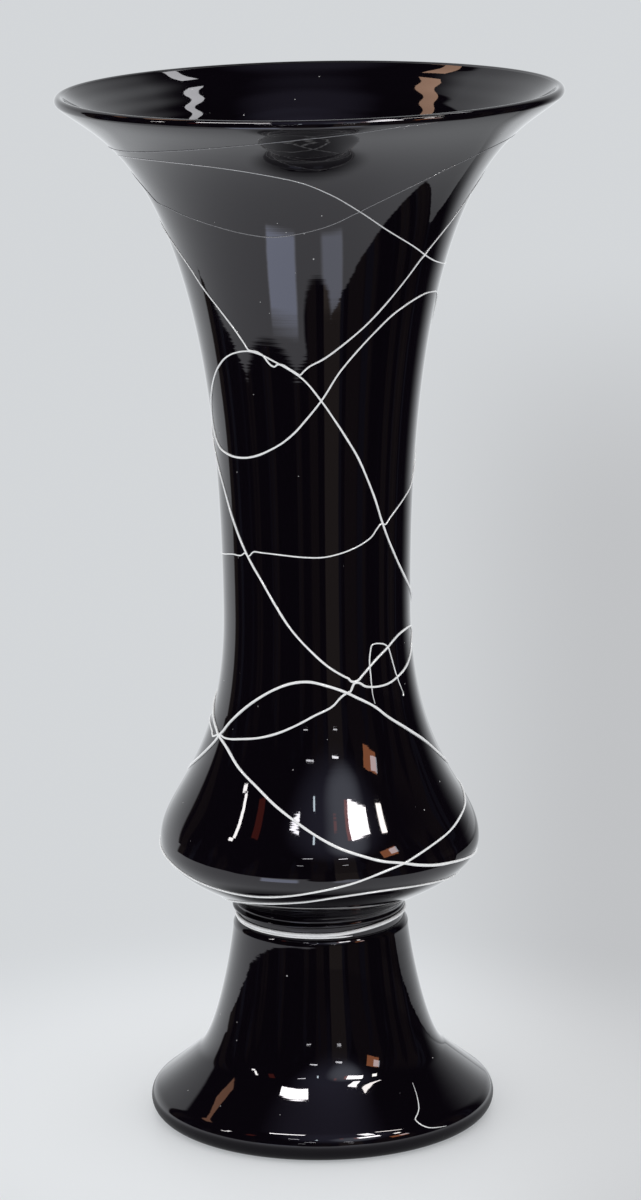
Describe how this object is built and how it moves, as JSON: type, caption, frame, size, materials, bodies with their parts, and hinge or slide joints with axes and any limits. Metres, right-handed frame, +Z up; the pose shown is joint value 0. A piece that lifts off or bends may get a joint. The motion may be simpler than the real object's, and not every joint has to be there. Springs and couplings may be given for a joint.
{
  "type": "trumpet vase",
  "caption": "Tall blown-glass trumpet vase with a flared mouth, slender stem, rounded bulb, bell foot and loose white glass trails wound over dark glass.",
  "frame": {"origin": "centre of the flat ring that the foot rests on", "axes": "+Z up along the axis of the vase, +X to the right and -Y towards the viewer of the front"},
  "size_m": [0.2406, 0.2405, 0.508],
  "materials": {
    "black_glass": "fire-polished gloss, opaque black with a violet cast",
    "white_glass": "gloss, opaque white"
  },
  "bodies": {
    "root": {"trumpet_bowl": "black_glass", "collar": "black_glass", "bell_foot": "black_glass", "waist_winding": "white_glass", "rim_trail": "white_glass", "shoulder_trail": "white_glass", "flare_arc_trail": "white_glass", "vee_trail": "white_glass", "neck_loop_trail": "white_glass", "stem_sweep_trail": "white_glass", "fine_stem_trail": "white_glass", "bulb_arch_trail": "white_glass", "bulb_sweep_trail": "white_glass", "bulb_cross_trail": "white_glass", "bulb_under_trail": "white_glass", "stray_tail_trail": "white_glass", "foot_trail": "white_glass"}
  },
  "joints": []
}
